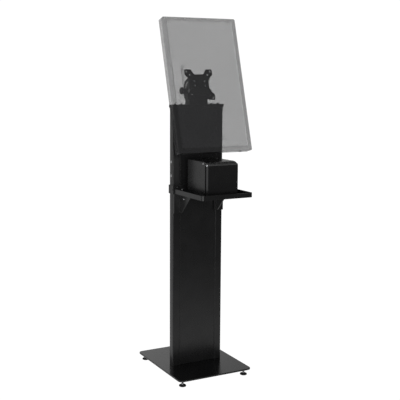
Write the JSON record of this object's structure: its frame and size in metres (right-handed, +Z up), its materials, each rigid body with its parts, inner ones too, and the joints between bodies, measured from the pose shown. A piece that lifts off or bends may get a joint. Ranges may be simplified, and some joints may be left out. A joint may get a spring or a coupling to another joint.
{
  "type": "touchscreen kiosk",
  "caption": "Free-standing kiosk: flat column on a floor plate, shelf with a receipt printer, and a portrait touch display that tilts and locks with a knob.",
  "frame": {"origin": "on the floor, under the middle of the kiosk's bounding box", "axes": "+Z up, +X to the right as seen by a visitor, the screen and the shelf face -Y"},
  "size_m": [0.31, 0.431, 1.344],
  "materials": {
    "powder_coat": "black fine-texture powder coat, satin",
    "panel_coat": "black satin powder coat on flat sheet",
    "plate_coat": "black semi-gloss powder coat with a soft reflection",
    "plastic_black": "moulded black plastic, light grain",
    "bezel_black": "smoky see-through black, as the display is drawn",
    "rear_cover_smoke": "thin smoky see-through shell",
    "touch_glass": "smoked touch glass",
    "lcd_panel": "see-through grey panel",
    "circuit_board": "dark circuit board",
    "rubber_black": "black rubber",
    "zinc": "bright zinc plating",
    "steel": "plain turned steel",
    "paper": "white thermal paper, wound"
  },
  "bodies": {
    "stand": {"base_plate": "plate_coat", "upright_left": "powder_coat", "upright_right": "powder_coat", "column_bolt_left": "steel", "column_bolt_right": "steel", "front_panel": "panel_coat", "rear_panel": "panel_coat", "cross_rail_lower": "powder_coat", "cross_rail_middle": "powder_coat", "cross_rail_upper": "powder_coat", "top_cap": "powder_coat", "cap_screw_outer_left": "zinc", "cap_screw_inner_left": "zinc", "cap_screw_inner_right": "zinc", "cap_screw_outer_right": "zinc", "shelf_tray": "powder_coat", "shelf_bracket_left": "powder_coat", "shelf_bracket_right": "powder_coat", "bracket_screw_left": "zinc", "bracket_screw_right": "zinc", "shelf_clamp_strap": "powder_coat", "strap_screw_left": "zinc", "strap_screw_right": "zinc", "printer_casing": "plastic_black", "printer_frame": "powder_coat", "cover_hinge_pin": "steel", "paper_spindle": "steel", "print_head": "steel", "cutter_blade": "steel", "head_base": "powder_coat", "pivot_bolt": "steel", "lock_bolt": "steel"},
    "display_head": {"tilt_bracket": "powder_coat", "vesa_plate": "powder_coat", "vesa_screw_lower_left": "zinc", "vesa_screw_lower_right": "zinc", "vesa_screw_upper_left": "zinc", "vesa_screw_upper_right": "zinc", "display_bezel": "bezel_black", "touch_glass": "touch_glass", "lcd_panel": "lcd_panel", "display_rear_cover": "rear_cover_smoke", "display_board": "circuit_board"},
    "lock_knob": {"lock_knob": "plastic_black"},
    "printer_cover": {"printer_front_cover": "plastic_black"},
    "platen": {"platen_roller": "rubber_black"},
    "paper_roll": {"paper_roll": "paper"},
    "feed_button": {"feed_button": "steel"},
    "power_button": {"power_button": "plastic_black"},
    "foot_front_left": {"foot_pad_front_left": "rubber_black"},
    "foot_screw_front_left": {"foot_stem_front_left": "steel"},
    "foot_front_right": {"foot_pad_front_right": "rubber_black"},
    "foot_screw_front_right": {"foot_stem_front_right": "steel"},
    "foot_rear_left": {"foot_pad_rear_left": "rubber_black"},
    "foot_screw_rear_left": {"foot_stem_rear_left": "steel"},
    "foot_rear_right": {"foot_pad_rear_right": "rubber_black"},
    "foot_screw_rear_right": {"foot_stem_rear_right": "steel"}
  },
  "joints": [
    {"name": "display_tilt", "type": "hinge", "parent": "stand", "child": "display_head", "pos_m": [0, -0.004, 1.079], "axis": [-1, 0, 0], "range_deg": [-15.8, 55]},
    {"name": "lock_knob_turn", "type": "hinge", "parent": "stand", "child": "lock_knob", "pos_m": [0, 0.033, 1.079], "axis": [1, 0, 0], "continuous": true},
    {"name": "printer_cover_swing", "type": "hinge", "parent": "stand", "child": "printer_cover", "pos_m": [0, -0.174, 0.715], "axis": [1, 0, 0], "range_deg": [0, 70]},
    {"name": "paper_roll_spin", "type": "hinge", "parent": "stand", "child": "paper_roll", "pos_m": [0, -0.088, 0.77], "axis": [1, 0, 0], "continuous": true},
    {"name": "platen_spin", "type": "hinge", "parent": "stand", "child": "platen", "pos_m": [0, -0.137, 0.812], "axis": [1, 0, 0], "continuous": true},
    {"name": "feed_button_press", "type": "slide", "parent": "stand", "child": "feed_button", "axis": [0, 0, -1], "range_m": [0, 0.0012], "stiffness_N_per_m": 1500},
    {"name": "power_button_press", "type": "slide", "parent": "display_head", "child": "power_button", "axis": [0, 0.2731, 0.962], "range_m": [0, 0.0009], "stiffness_N_per_m": 1500},
    {"name": "foot_front_left_height", "type": "slide", "parent": "stand", "child": "foot_front_left", "axis": [0, 0, 1], "range_m": [-0.0012, 0.0024]},
    {"name": "foot_front_left_screw", "type": "hinge", "parent": "foot_front_left", "child": "foot_screw_front_left", "pos_m": [-0.132, -0.127, 0], "axis": [0, 0, 1], "range_deg": [-360, 720]},
    {"name": "foot_front_right_height", "type": "slide", "parent": "stand", "child": "foot_front_right", "axis": [0, 0, 1], "range_m": [-0.0012, 0.0024]},
    {"name": "foot_front_right_screw", "type": "hinge", "parent": "foot_front_right", "child": "foot_screw_front_right", "pos_m": [0.132, -0.127, 0], "axis": [0, 0, 1], "range_deg": [-360, 720]},
    {"name": "foot_rear_left_height", "type": "slide", "parent": "stand", "child": "foot_rear_left", "axis": [0, 0, 1], "range_m": [-0.0012, 0.0024]},
    {"name": "foot_rear_left_screw", "type": "hinge", "parent": "foot_rear_left", "child": "foot_screw_rear_left", "pos_m": [-0.132, 0.1925, 0], "axis": [0, 0, 1], "range_deg": [-360, 720]},
    {"name": "foot_rear_right_height", "type": "slide", "parent": "stand", "child": "foot_rear_right", "axis": [0, 0, 1], "range_m": [-0.0012, 0.0024]},
    {"name": "foot_rear_right_screw", "type": "hinge", "parent": "foot_rear_right", "child": "foot_screw_rear_right", "pos_m": [0.132, 0.1925, 0], "axis": [0, 0, 1], "range_deg": [-360, 720]}
  ],
  "couplings": [
    {"joint": "platen_spin", "follows": "paper_roll_spin", "ratio": -5.1429},
    {"joint": "foot_front_left_screw", "follows": "foot_front_left_height", "rad_per_m": 5026.5},
    {"joint": "foot_front_right_screw", "follows": "foot_front_right_height", "rad_per_m": 5026.5},
    {"joint": "foot_rear_left_screw", "follows": "foot_rear_left_height", "rad_per_m": 5026.5},
    {"joint": "foot_rear_right_screw", "follows": "foot_rear_right_height", "rad_per_m": 5026.5}
  ]
}
